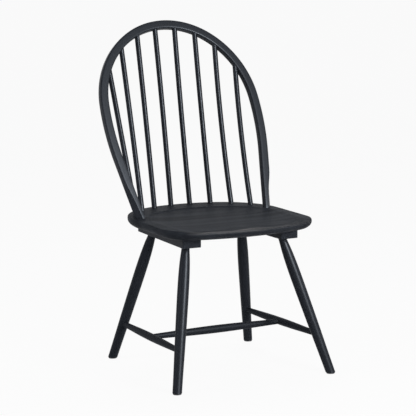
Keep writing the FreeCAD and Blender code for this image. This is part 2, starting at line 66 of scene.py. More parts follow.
# %% [markdown]
# Every operator acts on what is selected, and a newly loaded frame is selected all over. So small
# helpers clear the selection before each new piece, take up one piece alone, go into edit mode
# and back, and tell what a cell has made.

# %% Helpers for taking up a piece
def deselect():
    if bpy.context.mode != "OBJECT":
        bpy.ops.object.mode_set(mode="OBJECT")
    bpy.ops.object.select_all(action="DESELECT")


def take(piece):
    """Selects this piece alone, and makes it the one that operators work on."""
    deselect()
    piece.select_set(True)
    bpy.context.view_layer.objects.active = piece


def edit(mode="EDIT"):
    bpy.ops.object.mode_set(mode=mode)


def tell(piece):
    size = [round(s * 1000.0, 1) for s in piece.dimensions]
    print(piece.name, "has", len(piece.data.vertices), "points and measures", size, "mm")


# %% [markdown]
# The camera stands low and well back, to the left of the chair's front. A long lens from more than
# five metres keeps the legs nearly parallel, as in the photograph. Its place is given the way a
# photographer would say it: how far round, how high, how far away and what it looks at. The lights
# are placed in the same way later on, so the two steps of that are helpers.

# %% Camera
CAMERA_AROUND = -27.94
CAMERA_UP = 9.48
CAMERA_AWAY = 5.5405
CAMERA_LENS = 159.77
CAMERA_SEES = 60.0
CHAIR_MIDDLE = Vector((0.0, 0.0007, 0.4732))


def direction(around, up):
    """From the chair's middle, so many degrees round from its front, and so many up."""
    a = math.radians(around)
    e = math.radians(up)
    return Vector((math.sin(a) * math.cos(e), -math.cos(a) * math.cos(e), math.sin(e)))


def turned_back(away):
    """The turn that makes a camera or a light look back along the direction."""
    return (-away).to_track_quat("-Z", "Y").to_euler()


towards_camera = direction(CAMERA_AROUND, CAMERA_UP)
deselect()
bpy.ops.object.camera_add(location=CHAIR_MIDDLE + towards_camera * CAMERA_AWAY)
camera = bpy.context.object
camera.name = "camera"
camera.rotation_euler = turned_back(towards_camera)
camera.data.lens = CAMERA_LENS
camera.data.clip_end = CAMERA_SEES
bpy.context.scene.camera = camera
bpy.context.scene.view_settings.view_transform = "Standard"
print("camera at", [round(c, 3) for c in camera.location])


# %% [markdown]
# The studio is a pale floor under a white surround. A bright surround would also light the chair
# and turn its black paint grey. So the surround is white only to rays from the camera and to those
# that are mirrored or pass through something, and gives the chair no more than a soft fill. The
# Light Path node tells these rays apart.

# %% Tell what is seen from what gives light
def calculate(tree, operation, first, second=0.0):
    """One Math node, whose inputs are sockets or plain numbers."""
    made = tree.nodes.new("ShaderNodeMath")
    made.operation = operation
    for slot, value in zip(made.inputs, (first, second)):
        if isinstance(value, float):
            slot.default_value = value
        else:
            tree.links.new(value, slot)
    return made.outputs[0]


def seen_directly(tree):
    """1 for camera, mirror and see-through rays, and 0 for the rays that carry soft light."""
    path = tree.nodes.new("ShaderNodeLightPath")
    seen = calculate(tree, "MAXIMUM", path.outputs["Is Camera Ray"], path.outputs["Is Glossy Ray"])
    return calculate(tree, "MAXIMUM", seen, path.outputs["Is Transmission Ray"])


def show(tree, output, share, lighting, seen):
    """Mixes two shaders: the share says how much of the one that is seen."""
    mix = tree.nodes.new("ShaderNodeMixShader")
    tree.links.new(share, mix.inputs[0])
    tree.links.new(lighting.outputs[0], mix.inputs[1])
    tree.links.new(seen.outputs[0], mix.inputs[2])
    tree.links.new(mix.outputs[0], output.inputs["Surface"])


# %% Surround
FILL_COLOUR = (0.93, 0.96, 1.0, 1.0)
FILL_LIGHT = 0.25
WHITE = (1.0, 1.0, 1.0, 1.0)

world = bpy.data.worlds.new("studio surround")
bpy.context.scene.world = world
world.use_nodes = True
tree = world.node_tree
tree.nodes.clear()
fill = tree.nodes.new("ShaderNodeBackground")
fill.inputs["Color"].default_value = FILL_COLOUR
fill.inputs["Strength"].default_value = FILL_LIGHT
white = tree.nodes.new("ShaderNodeBackground")
white.inputs["Color"].default_value = WHITE
white.inputs["Strength"].default_value = 1.0
show(tree, tree.nodes.new("ShaderNodeOutputWorld"), seen_directly(tree), fill, white)
print("the surround gives a fill of", FILL_LIGHT)


# %% [markdown]
# The floor is matt pale paper. Under these few lights it would come out grey, so most of what is
# seen of it is a glow of its own, and the rest is the paper, which still takes the chair's shadow.

# %% Floor
FLOOR_SIZE = 40.0
FLOOR_COLOUR = (0.7, 0.7, 0.7, 1.0)
FLOOR_GLOW = 0.94

deselect()
bpy.ops.mesh.primitive_plane_add(size=FLOOR_SIZE, location=(0.0, 0.0, 0.0))
floor = bpy.context.object
floor.name = "floor"
paper = bpy.data.materials.new("pale floor")
paper.use_nodes = True
tree = paper.node_tree
tree.nodes.clear()
matte = tree.nodes.new("ShaderNodeBsdfDiffuse")
matte.inputs["Color"].default_value = FLOOR_COLOUR
glow = tree.nodes.new("ShaderNodeEmission")
glow.inputs["Strength"].default_value = 1.0
share = calculate(tree, "MULTIPLY", seen_directly(tree), FLOOR_GLOW)
show(tree, tree.nodes.new("ShaderNodeOutputMaterial"), share, matte, glow)
floor.data.materials.append(paper)
print("the floor is", FLOOR_SIZE, "m wide")


# %% [markdown]
# Black paint shows its form by what it reflects, so most of the lighting is about reflections.
# A low soft light, a little to the right of the front, lights the seat's edge and the legs. A
# light from above and behind lifts the seat's top, and is kept out of reflections, so that it
# draws no streaks of its own. A weak light from the left keeps the far edges from going dead. The
# last one is narrow and strong and is only reflected: it draws the thin streak that runs down
# every spindle and leg.

# %% Lights
def soft_light(name, around, up, away, width, height, power):
    """A rectangle of light placed round the chair's middle and turned towards it."""
    outwards = direction(around, up)
    bpy.ops.object.light_add(type="AREA", location=CHAIR_MIDDLE + outwards * away)
    light = bpy.context.object
    light.name = name
    light.data.shape = "RECTANGLE"
    light.data.size = width
    light.data.size_y = height
    light.data.energy = power
    light.rotation_euler = turned_back(outwards)
    print(name, "of", width, "by", height, "m and", power, "W")
    return light


deselect()
soft_light("front light", around=14.0, up=12.0, away=2.6, width=1.0, height=1.0, power=43.0)
top = soft_light("top light", around=150.0, up=66.0, away=3.2, width=1.4, height=1.2, power=27.0)
top.visible_glossy = False
soft_light("side light", around=-95.0, up=20.0, away=3.2, width=1.0, height=1.4, power=30.0)
streak = soft_light("streak light", around=13.0, up=25.0, away=2.8, width=0.4, height=0.9,
                    power=480.0)
streak.visible_diffuse = False


# %% [markdown]
# The finish is satin black paint sprayed over open wood. Close up, three things show through it:
# the colour drifts a little along the grain, the pores leave fine lines that run with the wood,
# and the sheen changes where more paint has soaked in. All three come from noise that is drawn
# out along the grain. A Mapping node lays it along each piece, because the pieces lean every way
# and a pattern that keeps to the room's axes would cut across them.

# %% Lay a pattern along the grain
GRAIN_STRETCH = 26.0


def turned_to(line):
    """The turn that lays the Z axis along the line."""
    return Vector(line).normalized().to_track_quat("Z", "Y").to_euler()


def grain_space(tree, line, origin):
    """Coordinates in the wood: Z runs along the grain and is drawn out."""
    place = tree.nodes.new("ShaderNodeTexCoord")
    lay = tree.nodes.new("ShaderNodeMapping")
    lay.vector_type = "TEXTURE"
    lay.inputs["Location"].default_value = origin
    lay.inputs["Rotation"].default_value = turned_to(line)
    lay.inputs["Scale"].default_value = (1.0, 1.0, GRAIN_STRETCH)
    tree.links.new(place.outputs["Object"], lay.inputs["Vector"])
    return lay.outputs[0]


# %% Helpers for patterns, colours and relief
def noise(tree, vector, fineness, layers, layer_strength):
    made = tree.nodes.new("ShaderNodeTexNoise")
    made.inputs["Scale"].default_value = fineness
    made.inputs["Detail"].default_value = layers
    made.inputs["Roughness"].default_value = layer_strength
    tree.links.new(vector, made.inputs["Vector"])
    return made.outputs["Fac"]


def remap(tree, value, low, high, to_low, to_high):
    """What runs from low to high runs from to_low to to_high instead, and stops there."""
    made = tree.nodes.new("ShaderNodeMapRange")
    made.inputs["From Min"].default_value = low
    made.inputs["From Max"].default_value = high
    made.inputs["To Min"].default_value = to_low
    made.inputs["To Max"].default_value = to_high
    tree.links.new(value, made.inputs["Value"])
    return made.outputs["Result"]


def shade_between(tree, value, dark, light, start=0.0, stop=1.0):
    """The dark colour up to start, the light one from stop, and what lies between."""
    ramp = tree.nodes.new("ShaderNodeValToRGB")
    ramp.color_ramp.elements[0].position = start
    ramp.color_ramp.elements[0].color = (*dark, 1.0)
    ramp.color_ramp.elements[1].position = stop
    ramp.color_ramp.elements[1].color = (*light, 1.0)
    tree.links.new(value, ramp.inputs["Fac"])
    return ramp.outputs["Color"]


def relief_of(tree, height, strength, depth):
    made = tree.nodes.new("ShaderNodeBump")
    made.inputs["Strength"].default_value = strength
    made.inputs["Distance"].default_value = depth
    tree.links.new(height, made.inputs["Height"])
    return made


# %% Painted wood
# Each pattern: how fine it is, how many finer layers it has, and how strong these are.
DRIFT = (26.0, 4.0, 0.6)
PORES = (420.0, 2.0, 0.5)
SPRAY = (900.0, 1.0, 0.4)
PORE_RELIEF = 0.35
PORE_DEPTH = 0.25 * MM
SPRAY_RELIEF = 0.12
SPRAY_DEPTH = 0.1 * MM
SOAKED_IN = 0.03
# Where in a pattern, which runs from 0 to 1, the change begins and where it ends
COLOUR_SPAN = (0.32, 0.72)
SHEEN_SPAN = (0.3, 0.7)
PORE_SPAN = (0.35, 0.6)
COOL_SHEEN = (0.82, 0.9, 1.0, 1.0)


def painted_wood(name, grain_of, dark, light, gloss, shine, relief):
    """Satin paint over wood. grain_of makes the grain's coordinates in the material's tree."""
    paint = bpy.data.materials.new(name)
    paint.use_nodes = True
    tree = paint.node_tree
    shader = tree.nodes["Principled BSDF"]
    grain = grain_of(tree)
    place = tree.nodes.new("ShaderNodeTexCoord")
    drift = noise(tree, grain, *DRIFT)
    pores = noise(tree, grain, *PORES)
    spray = noise(tree, place.outputs["Object"], *SPRAY)

    colour = shade_between(tree, drift, dark, light, *COLOUR_SPAN)
    tree.links.new(colour, shader.inputs["Base Color"])
    soaked = remap(tree, drift, *SHEEN_SPAN, gloss + SOAKED_IN, gloss - SOAKED_IN)
    tree.links.new(soaked, shader.inputs["Roughness"])
    shader.inputs["Specular IOR Level"].default_value = shine
    shader.inputs["Specular Tint"].default_value = COOL_SHEEN

    open_pores = remap(tree, pores, *PORE_SPAN, 0.0, 1.0)
    pore_bump = relief_of(tree, open_pores, PORE_RELIEF * relief, PORE_DEPTH)
    spray_bump = relief_of(tree, spray, SPRAY_RELIEF, SPRAY_DEPTH)
    tree.links.new(pore_bump.outputs["Normal"], spray_bump.inputs["Normal"])
    tree.links.new(spray_bump.outputs["Normal"], shader.inputs["Normal"])
    print(name, "has a roughness of", gloss)
    return paint


def wear(piece, material):
    """The piece keeps its shape and takes the material."""
    piece.data.materials.clear()
    piece.data.materials.append(material)


# %% [markdown]
# The seat is one thick board. Its outline is a D: a wide arc at the back, round corners, straight
# sides and a gently bowed front. Its underside is planed away to a thin rim, and its top is
# hollowed. Such a board could be cut from a block, but its surface changes slowly from one outline
# to the next, so it is drawn as a stack of half outlines that are bridged like the ribs of a boat.
# Each rib starts as a single point at the back, is spun round the centres of its arcs, and ends
# on the centre line at the front.

# %% Draw half an outline by spinning a point
BACK_ARC_STEPS = 10
BACK_CORNER_STEPS = 9
SIDE_STEPS = 6
FRONT_CORNER_STEPS = 8
FRONT_ARC_STEPS = 12
CLOCKWISE = (0.0, 0.0, 1.0)


def start_point(place):
    """One loose point in the mesh that is being edited, and only it is selected."""
    bpy.ops.mesh.select_all(action="DESELECT")
    bpy.ops.mesh.primitive_plane_add(size=MM, location=place)
    bpy.ops.mesh.merge(type="CENTER")


def draw_half(half_width, back, front, back_radius, back_corner, front_radius, front_corner, z):
    """Half a D in mm, from the middle of its back to the middle of its front."""
    back_x = half_width - back_corner
    back_turn = math.asin(back_x / (back_radius - back_corner))
    back_y = back - back_radius + (back_radius - back_corner) * math.cos(back_turn)
    front_x = half_width - front_corner
    front_turn = math.asin(front_x / (front_radius - front_corner))
    front_y = front + front_radius - (front_radius - front_corner) * math.cos(front_turn)

    def spin(x, y, angle, steps):
        bpy.ops.mesh.spin(steps=steps, angle=angle, center=(x * MM, y * MM, z * MM),
                          axis=CLOCKWISE)

    start_point((0.0, back * MM, z * MM))
    spin(0.0, back - back_radius, back_turn, BACK_ARC_STEPS)
    spin(back_x, back_y, math.pi / 2.0 - back_turn, BACK_CORNER_STEPS)
    for step in range(SIDE_STEPS):
        bpy.ops.mesh.extrude_region_move(TRANSFORM_OT_translate={
            "value": (0.0, (front_y - back_y) * MM / SIDE_STEPS, 0.0)})
    spin(front_x, front_y, math.pi / 2.0 - front_turn, FRONT_CORNER_STEPS)
    spin(0.0, front + front_radius, front_turn, FRONT_ARC_STEPS)


# %% The outlines of the seat and of its hollow
# Half width, back, front, back radius, back corner, front radius, front corner
SEAT = (246.0, 203.1, -275.4, 360.0, 188.0, 670.0, 78.0)
HOLLOW = (200.0, 119.1, -254.9, 265.0, 150.0, 670.0, 70.0)
HOLLOW_CORNERS_VANISH = 150.0
SEAT_TOP = 457.0
SEAT_BOTTOM = 423.5


def seat_rib(side, front, z):
    """The seat's outline, drawn in by so much at the sides and at the front."""
    half_width, back, seat_front, back_radius, back_corner, front_radius, front_corner = SEAT
    draw_half(half_width - side, back - side, seat_front + front, back_radius - side,
              back_corner - side, front_radius - front, front_corner - front, z)


def hollow_rib(back, side, front, depth):
    """The hollow's outline, drawn in by so much at the back, the sides and the front."""
    half_width, rear, hollow_front, back_radius, back_corner, front_radius, front_corner = HOLLOW
    draw_half(half_width - side, rear - back, hollow_front + front, back_radius - back,
              back_corner - back, front_radius - front,
              front_corner * (1.0 - front / HOLLOW_CORNERS_VANISH), SEAT_TOP - depth)


# %% The seat's ribs, from the underside over the rim to the hollow
RIM_HEIGHT = 447.0
UNDERCUT = 43.0
FLAT_UNDER = 18.0
BEVEL_TURNS = (90.0, 76.0, 62.0, 48.0, 34.0, 20.0, 9.0, 0.0)
# How far in at the sides and at the front, and how deep under the top
RIM = ((0.0, 0.0, 7.4), (0.1, 0.5, 5.2), (0.5, 2.2, 3.0), (1.3, 5.2, 1.2), (2.8, 9.6, 0.2),
       (6.0, 14.0, 0.0))
# How far in at the back, at the sides and at the front, and how deep under the top
HOLLOWING = ((-3.0, -16.0, -1.0, 0.0), (-0.8, -11.0, 0.5, 0.05), (1.0, -5.0, 2.0, 0.5),
             (3.6, 6.0, 6.0, 2.5), (6.0, 14.0, 10.0, 3.1), (14.0, 26.0, 18.0, 3.9),
             (28.0, 40.0, 31.0, 4.9), (48.0, 56.0, 50.0, 5.9), (72.0, 74.0, 74.0, 6.5),
             (96.0, 96.0, 100.0, 6.8))

ribs = [(seat_rib, (UNDERCUT + FLAT_UNDER, UNDERCUT + FLAT_UNDER, SEAT_BOTTOM))]
for degrees in BEVEL_TURNS:
    turn = math.radians(degrees)
    inset = UNDERCUT * (1.0 - math.cos(turn))
    ribs.append((seat_rib, (inset, inset,
                            RIM_HEIGHT - (RIM_HEIGHT - SEAT_BOTTOM) * math.sin(turn))))
for side, front, depth in RIM:
    ribs.append((seat_rib, (side, front, SEAT_TOP - depth)))
for row in HOLLOWING:
    ribs.append((hollow_rib, row))
print("the seat has", len(ribs), "ribs")


# %% [markdown]
# Each rib is drawn into the same mesh and kept as a named group of points. Two neighbours can then
# be picked out by name and bridged, whatever else has been drawn by then. The start is an empty
# mesh, a small plane with its points deleted, because the ribs bring every point they need.

# %% Bridge the ribs
deselect()
bpy.ops.mesh.primitive_plane_add(size=0.1)
seat_board = bpy.context.object
seat_board.name = "seat_board"
edit()
bpy.ops.mesh.delete(type="VERT")


def pick(*names):
    """Selects the points of the named groups, and nothing else."""
    bpy.ops.mesh.select_all(action="DESELECT")
    for name in names:
        seat_board.vertex_groups.active_index = seat_board.vertex_groups[name].index
        bpy.ops.object.vertex_group_select()


for number, (draw, values) in enumerate(ribs):
    draw(*values)
    bpy.ops.mesh.select_linked()
    group = seat_board.vertex_groups.new(name="rib %d" % number)
    seat_board.vertex_groups.active_index = group.index
    bpy.ops.object.vertex_group_assign()
    if number:
        pick("rib %d" % (number - 1), "rib %d" % number)
        bpy.ops.mesh.bridge_edge_loops()
edit("OBJECT")
tell(seat_board)


# %% Mirror the half board and close its two ends
MERGE = 0.05 * MM
END_COLUMNS = 22


def apply_modifier(piece, kind, **values):
    bpy.context.view_layer.objects.active = piece
    modifier = piece.modifiers.new(kind.lower(), kind)
    for name, value in values.items():
        setattr(modifier, name, value)
    bpy.ops.object.modifier_apply(modifier=modifier.name)


apply_modifier(seat_board, "MIRROR", use_axis=(True, False, False), merge_threshold=MERGE)
edit()
for end in ("rib 0", "rib %d" % (len(ribs) - 1)):
    pick(end)
    bpy.ops.mesh.fill_grid(span=END_COLUMNS)
bpy.ops.mesh.select_all(action="SELECT")
bpy.ops.mesh.normals_make_consistent(inside=False)
edit("OBJECT")
tell(seat_board)


# %% [markdown]
# The front of a saddled seat isn't level. It is lowest where the thighs lie, a little higher
# between them, and it meets the full thickness again at the corners. Proportional editing pulls
# the lip down there, softly, while the rows below it are hidden so that they stay on the frame.
# It is done in three goes, from a low row up, so that the rim is bent and not only its edge.

# %% Pull the front lip down under the thighs
LIP_STARTS = -0.232
SOFT_REACH = 80.0 * MM
# Where along the lip, how far to each side of that, and what share of the full sag
SAGS = ((-118.0, 36.0, 1.0), (118.0, 36.0, 1.0), (0.0, 20.0, 0.42))
# The height above which the points move, and how far down
GOES = ((438.0, 1.3), (445.0, 1.7), (451.0, 2.5))


def select_where(piece, test):
    """Selects the points whose place passes the test. Leaves edit mode and comes back to it."""
    edit("OBJECT")
    for v in piece.data.vertices:
        v.select = (not v.hide) and test(v.co)
    edit()


def pull_down(lowest_row, middle, reach, amount):
    """Lowers the lip round x = middle. Rows under lowest_row stay where they are."""
    bpy.ops.mesh.select_all(action="DESELECT")
    select_where(seat_board, lambda p: p.z < lowest_row * MM)
    bpy.ops.mesh.hide(unselected=False)
    select_where(seat_board,
                 lambda p: abs(p.x - middle * MM) < reach * MM and p.y < LIP_STARTS)
    bpy.ops.transform.translate(value=(0.0, 0.0, -amount * MM), use_proportional_edit=True,
                                proportional_edit_falloff="SMOOTH",
                                proportional_size=SOFT_REACH)
    bpy.ops.mesh.reveal(select=False)


take(seat_board)
edit()
bpy.ops.mesh.select_mode(type="VERT")
for middle, reach, share in SAGS:
    for lowest_row, amount in GOES:
        pull_down(lowest_row, middle, reach, amount * share)
edit("OBJECT")
apply_modifier(seat_board, "SUBSURF", levels=2, render_levels=2)
bpy.ops.object.vertex_group_remove(all=True)
tell(seat_board)


# %% [markdown]
# Two wood screws come up through the seat into the bow's feet, and their heads are let into the
# underside. The board that was just drawn would cover them, so each gets its recess: a drill, as
# wide as the recess and standing on the screw's own line, is taken out of the board and removed.
# A Boolean does this cleanly on a closed board, and comes after the subdivision, which would
# otherwise round the recess's edge. Shading by angle keeps that edge crisp too.

# %% Sink the two screws that hold the bow's feet
SCREW_LINE = Vector((0.1633, 0.4418, 0.8822))
SCREW_HEAD = Vector((210.57, 3.92, 425.5))
SCREW_RECESS = 4.1
DRILL_LENGTH = 10.0
DRILL_SIDES = 40
CRISP_FROM = math.radians(50.0)

for side in (-1.0, 1.0):
    line = Vector((side * SCREW_LINE.x, SCREW_LINE.y, SCREW_LINE.z))
    head = Vector((side * SCREW_HEAD.x, SCREW_HEAD.y, SCREW_HEAD.z))
    deselect()
    bpy.ops.mesh.primitive_cylinder_add(
        vertices=DRILL_SIDES, radius=SCREW_RECESS * MM, depth=DRILL_LENGTH * MM,
        location=(head - DRILL_LENGTH / 2.0 * line) * MM, rotation=turned_to(line))
    drill = bpy.context.object
    apply_modifier(seat_board, "BOOLEAN", operation="DIFFERENCE", solver="EXACT", object=drill)
    bpy.data.objects.remove(drill)
take(seat_board)
bpy.ops.object.shade_smooth_by_angle(angle=CRISP_FROM)
tell(seat_board)
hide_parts("seat")
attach(seat_board, "root")


# %% [markdown]
# The bow is one stick of ash, steamed and bent round a form, and it is modelled in the same way:
# it lies flat, with its section spun round the centres of its bends, and is leaned back into its
# place at the end. A bevelled curve would give the same line, but not the shaved feet. The bends
# are worked out from the seat upwards, because the foot's place and splay are known there: a
# straight run, the long bend of the side, the tighter one of the shoulder, and the top, whose
# radius follows, since it has to be level on the centre line.

# %% The bow's bends, from the top down the right side
FOOT_OUT = 216.4
FOOT_BACK = 19.7
STRAIGHT = 185.0
SPLAY = math.radians(9.4)
# Radius and turn of the side's bend, and of the shoulder's
SIDE_AND_SHOULDER = ((782.0, 13.3), (270.7, 52.6))

bends = []
heading = -SPLAY
x = FOOT_OUT + STRAIGHT * math.sin(SPLAY)
up = STRAIGHT * math.cos(SPLAY)
for radius, degrees in SIDE_AND_SHOULDER:
    centre_x = x - radius * math.cos(heading)
    centre_up = up - radius * math.sin(heading)
    heading += math.radians(degrees)
    x = centre_x + radius * math.cos(heading)
    up = centre_up + radius * math.sin(heading)
    bends.insert(0, (centre_x, centre_up, radius, math.radians(degrees)))
top_radius = x / math.cos(heading)
top_centre = up - top_radius * math.sin(heading)
bends.insert(0, (0.0, top_centre, top_radius, math.pi / 2.0 - heading))
apex = top_centre + top_radius
print("the bow's top is", round(apex, 1), "mm up its plane; radii", [round(b[2]) for b in bends])


# %% Spin the section round the bends
BOW_WIDTH = 26.5
BOW_DEPTH = 22.0
BOW_CORNER = 5.0
CORNER_STEPS = 5
BEND_STEPS = (14, 20, 12)

deselect()
bpy.ops.mesh.primitive_plane_add(size=1.0, location=(0.0, apex * MM, 0.0),
                                 rotation=(0.0, math.pi / 2.0, 0.0))
bow = bpy.context.object
bow.name = "bow"
bpy.ops.object.transform_apply(location=True, rotation=True, scale=True)
edit()
bpy.ops.transform.resize(value=(1.0, BOW_WIDTH * MM, BOW_DEPTH * MM),
                         center_override=(0.0, apex * MM, 0.0))
bpy.ops.mesh.bevel(offset=BOW_CORNER * MM, segments=CORNER_STEPS, affect="VERTICES")
bpy.ops.mesh.delete(type="ONLY_FACE")
bpy.ops.mesh.select_all(action="SELECT")
for (centre_x, centre_up, radius, angle), steps in zip(bends, BEND_STEPS):
    bpy.ops.mesh.spin(steps=steps, angle=angle, center=(centre_x * MM, centre_up * MM, 0.0),
                      axis=CLOCKWISE)
print("the section has gone round", len(bends), "bends")


# %% [markdown]
# The foot goes from the bow's rounded rectangle to a round that fits a drilled hole. A maker does
# this with a spokeshave and takes the most off the outer front corner, so the flat front face
# runs out in a slim tongue near the inner edge. Here the end of the bow is pushed on in short
# steps. After each, its section is made a little rounder, and its front half is drawn towards the
# inner edge. Drawing it in evenly from both sides would put the tongue in the middle, which the
# real foot doesn't show.

# %% Shave the foot
FOOT_TAPER = 110.0
FOOT_ROUNDING = 0.08
FOOT_FACE = 0.85
STRAIGHT_STEPS = 3
FOOT_STEPS = 5
FRONT_STARTS = 0.3
INNER_EDGE = 0.42
FOOT_SUNK = 10.0
TENON_SHARE = 0.75
TENON_LENGTH = 14.0


def push(length):
    """Extrudes the end of the bow towards the seat."""
    bpy.ops.mesh.extrude_region_move(TRANSFORM_OT_translate={
        "value": (-math.sin(SPLAY) * length * MM, -math.cos(SPLAY) * length * MM, 0.0)})


def foot_place(height):
    """A place on the foot's centre line, counted from the seat up along the foot."""
    return ((FOOT_OUT + height * math.sin(SPLAY)) * MM, height * math.cos(SPLAY) * MM, 0.0)


def narrow_the_face(height):
    """Shaves the outer front corner: the front of the section is drawn to its inner edge."""
    middle = Vector(foot_place(height))
    across = Vector((math.cos(SPLAY), -math.sin(SPLAY), 0.0))
    edit("OBJECT")
    for v in bow.data.vertices:
        if v.select and v.co.z > FRONT_STARTS * BOW_DEPTH / 2.0 * MM:
            out = (v.co - middle).dot(across) + INNER_EDGE * BOW_WIDTH * MM
            v.co -= across * out * (1.0 - FOOT_FACE)
    edit()


for step in range(STRAIGHT_STEPS):
    push((STRAIGHT - FOOT_TAPER) / STRAIGHT_STEPS)
for step in range(FOOT_STEPS):
    push(FOOT_TAPER / FOOT_STEPS)
    height = FOOT_TAPER * (FOOT_STEPS - 1 - step) / FOOT_STEPS
    bpy.ops.transform.tosphere(value=FOOT_ROUNDING, center_override=foot_place(height))
    narrow_the_face(height)
push(FOOT_SUNK)
bpy.ops.mesh.extrude_region_move()
bpy.ops.transform.resize(value=(TENON_SHARE, TENON_SHARE, TENON_SHARE),
                         center_override=foot_place(-FOOT_SUNK))
push(TENON_LENGTH)
bpy.ops.mesh.edge_face_add()
edit("OBJECT")
tell(bow)


# %% Mirror the bow
DOUBLES = 0.01 * MM

apply_modifier(bow, "MIRROR", use_axis=(True, False, False), merge_threshold=MERGE)
edit()
bpy.ops.mesh.select_all(action="SELECT")
bpy.ops.mesh.remove_doubles(threshold=DOUBLES)
bpy.ops.mesh.normals_make_consistent(inside=False)
edit("OBJECT")
apply_modifier(bow, "SUBSURF", levels=1, render_levels=1)
tell(bow)


# %% [markdown]
# Bent wood keeps its grain along the bend, and no turned pattern can follow that. So while the bow
# still lies flat, each point is marked with its place in the straight stick that the bow was
# before: how far out from the centre line, how far forward, and how far along. The paint reads
# this mark, which stays with the mesh.

# %% Mark which way the bow's grain runs
def along_bow(x, up):
    """Length along the bow from its top, and distance out from its centre line, in mm."""
    start, length = 0.0, 0.0
    for centre_x, centre_up, radius, angle in bends:
        turn = math.atan2(abs(x) - centre_x, up - centre_up)
        if turn <= start + angle:
            out = math.hypot(abs(x) - centre_x, up - centre_up) - radius
            return length + radius * (turn - start), out
        start += angle
        length += radius * angle
    down = (FOOT_OUT + STRAIGHT * math.sin(SPLAY) - abs(x)) * math.sin(SPLAY)
    down += (STRAIGHT * math.cos(SPLAY) - up) * math.cos(SPLAY)
    out = (abs(x) - FOOT_OUT) * math.cos(SPLAY) - up * math.sin(SPLAY)
    return length + down, out


grain = bow.data.attributes.new("grain", "FLOAT_VECTOR", "POINT")
for v in bow.data.vertices:
    length, out = along_bow(v.co.x / MM, v.co.y / MM)
    grain.data[v.index].vector = (out * MM, v.co.z, math.copysign(length, v.co.x) * MM)
print("the grain is marked on", len(grain.data), "points")


# %% Lean the bow back into its place
LEAN_BACK = math.radians(26.6)

take(bow)
bow.rotation_euler = (math.pi / 2.0 - LEAN_BACK, 0.0, 0.0)
bow.location = (0.0, FOOT_BACK * MM, SEAT_TOP * MM)
bpy.ops.object.transform_apply(location=True, rotation=True, scale=True)
bpy.ops.object.shade_smooth()
tell(bow)
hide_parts("hoop")
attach(bow, "root")


# %% [markdown]
# The straight pieces keep their solids. The grain of a turned or sawn piece runs from end to end,
# so its direction is read from the piece itself: it is the line through the middles of its two
# end slices. In the photograph the streaks on the spindles are the sharpest and those on the
# stretchers the softest, so these get a little more gloss or a little less than the legs.

# %% Find how each straight piece lies
FEWEST_POINTS = 12
END_SLICES = 50


def axis_of(piece, along):
    """Middles of the piece's two ends, counted along the given axis of the frame."""
    places = sorted((v.co.copy() for v in piece.data.vertices), key=lambda p: p[along])
    count = max(FEWEST_POINTS, len(places) // END_SLICES)
    first = sum(places[:count], Vector()) / count
    last = sum(places[-count:], Vector()) / count
    return first, last


# %% Paint the straight pieces
DARK_PAINT = (0.0145, 0.0162, 0.0205)
LIGHT_PAINT = (0.0245, 0.0274, 0.0342)
# Gloss as roughness, and shine as the strength of what is reflected
SATIN = (0.38, 0.04)
SPINDLE_SATIN = (0.32, 0.045)
STRETCHER_SATIN = (0.5, 0.03)
FAINT_PORES = 0.4
X, Y, Z = range(3)


def paint_along(name, along, satin=SATIN):
    piece = nodes[name]
    first, last = axis_of(piece, along)

    def grain_of(tree):
        return grain_space(tree, last - first, first)

    wear(piece, painted_wood(name + " paint", grain_of, DARK_PAINT, LIGHT_PAINT, *satin,
                             FAINT_PORES))


for number in range(1, 9):
    paint_along("spindle_%d" % number, Z, SPINDLE_SATIN)
for side in ("left", "right"):
    paint_along("leg_front_" + side, Z)
    paint_along("leg_rear_" + side, Z)
    paint_along("side_stretcher_" + side, Y, STRETCHER_SATIN)
    paint_along("batten_" + side, Y)
paint_along("middle_stretcher", X, STRETCHER_SATIN)


# %% [markdown]
# The seat is painted like the rest, a little duller and with deeper pores, because a flat board
# shows more of them. Its grain runs from side to side.

# %% Paint the seat
SEAT_DARK = (0.0125, 0.014, 0.0175)
SEAT_LIGHT = (0.0305, 0.034, 0.0415)
SEAT_SATIN = (0.55, 0.025)
FULL_PORES = 1.0


def seat_grain(tree):
    return grain_space(tree, (1.0, 0.0, 0.0), (0.0, 0.0, 0.0))


seat_paint = painted_wood("seat paint", seat_grain, SEAT_DARK, SEAT_LIGHT, *SEAT_SATIN,
                          FULL_PORES)


# %% [markdown]
# Legs and clothes rub the ridge of the front lip, and the paint has gone thin and grey there, in
# patches and mostly left of the middle. This light band is also a painted highlight: it stands in
# for the sheen that the rolled lip catches from the lights, so it is partly wear and partly
# painted light. The ridge is a flat arc round a far centre behind the seat, so the distance from
# that arc says how near a point is to it, and no part of it has to be painted by hand. Limits at
# both ends, from below and by a pattern break the line up.

# %% Wear the front lip, and paint a highlight along it
# A light grey on the lip's ridge: thin, worn paint and a painted highlight in one
LIP_WEAR_AND_HIGHLIGHT = (0.135, 0.13, 0.13)
LIP_CENTRE = 0.3946
LIP_RADIUS = 0.6655
WEAR_AND_HIGHLIGHT_PATTERN = (60.0, 3.0, 0.6)
# From here, to there, and how much of the worn paint and painted highlight shows at each
WEAR_AND_HIGHLIGHT_ACROSS = (0.001, 0.0085, 1.0, 0.0)
WEAR_AND_HIGHLIGHT_LEFT = (-0.2, -0.13, 0.0, 1.0)
WEAR_AND_HIGHLIGHT_RIGHT = (-0.03, 0.2, 1.0, 0.2)
WEAR_AND_HIGHLIGHT_ABOVE = (0.4435, 0.4475, 0.0, 1.0)
WEAR_AND_HIGHLIGHT_PATCHES = (0.38, 0.62, 0.35, 1.0)


